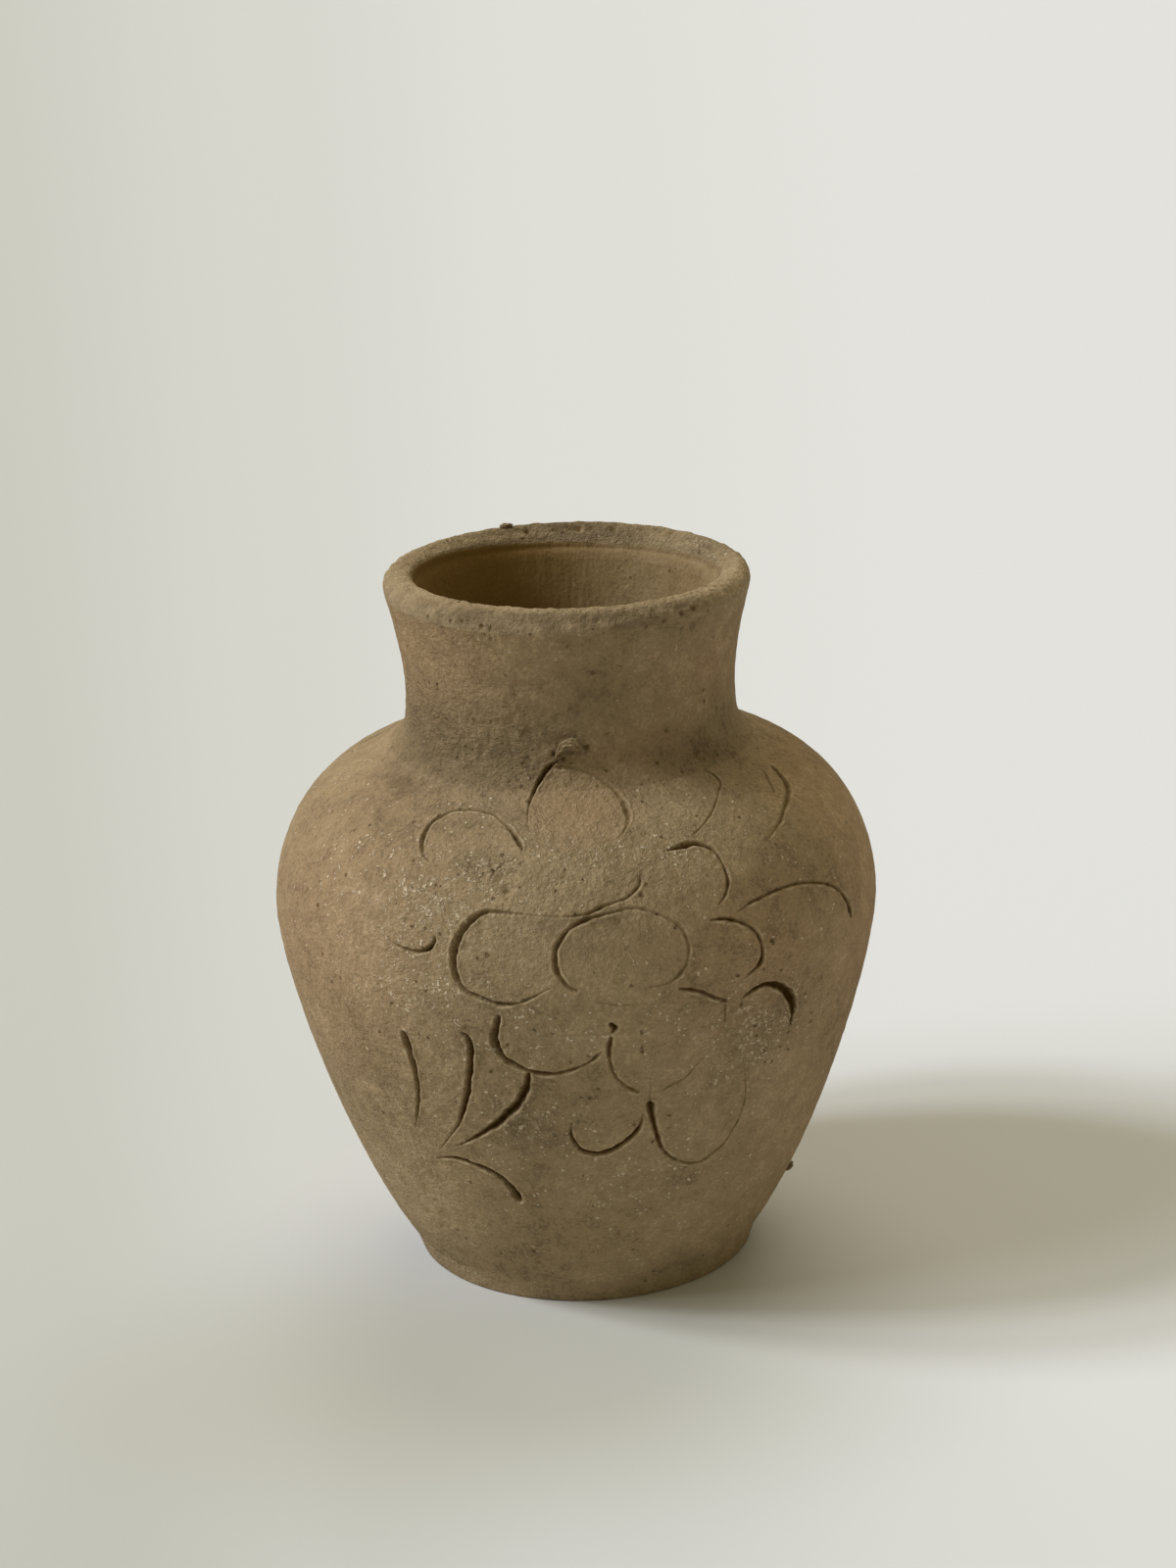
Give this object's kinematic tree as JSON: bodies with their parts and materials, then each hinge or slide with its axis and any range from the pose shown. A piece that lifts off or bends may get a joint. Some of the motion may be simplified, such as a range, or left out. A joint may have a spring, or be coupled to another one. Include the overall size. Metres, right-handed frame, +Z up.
{
  "type": "decorative pot",
  "caption": "Small round hand-built clay pot with a flat foot, short flared neck, thick rim and a flower and leaves incised in its wall.",
  "frame": {"origin": "centre of the flat underside, on the surface that the pot stands on", "axes": "+Z up along the pot's axis, -Y towards the side with the incised flower, +X to the right of that side"},
  "size_m": [0.095, 0.095, 0.1128],
  "materials": {
    "fired_clay": "unglazed low-fired clay, matt and sandy, warm grey brown with paler sand grains, pale rubbed edges and dark pits",
    "stray_clay": "the same unglazed clay in rough crumbs and a curl, matt and a little darker"
  },
  "bodies": {
    "root": {"base_disc": "fired_clay", "lower_wall": "fired_clay", "shoulder_wall": "fired_clay", "neck_collar": "fired_clay", "lip_ring": "fired_clay", "clay_burr": "stray_clay", "rim_crumb": "stray_clay", "wall_crumb": "stray_clay"}
  },
  "joints": []
}
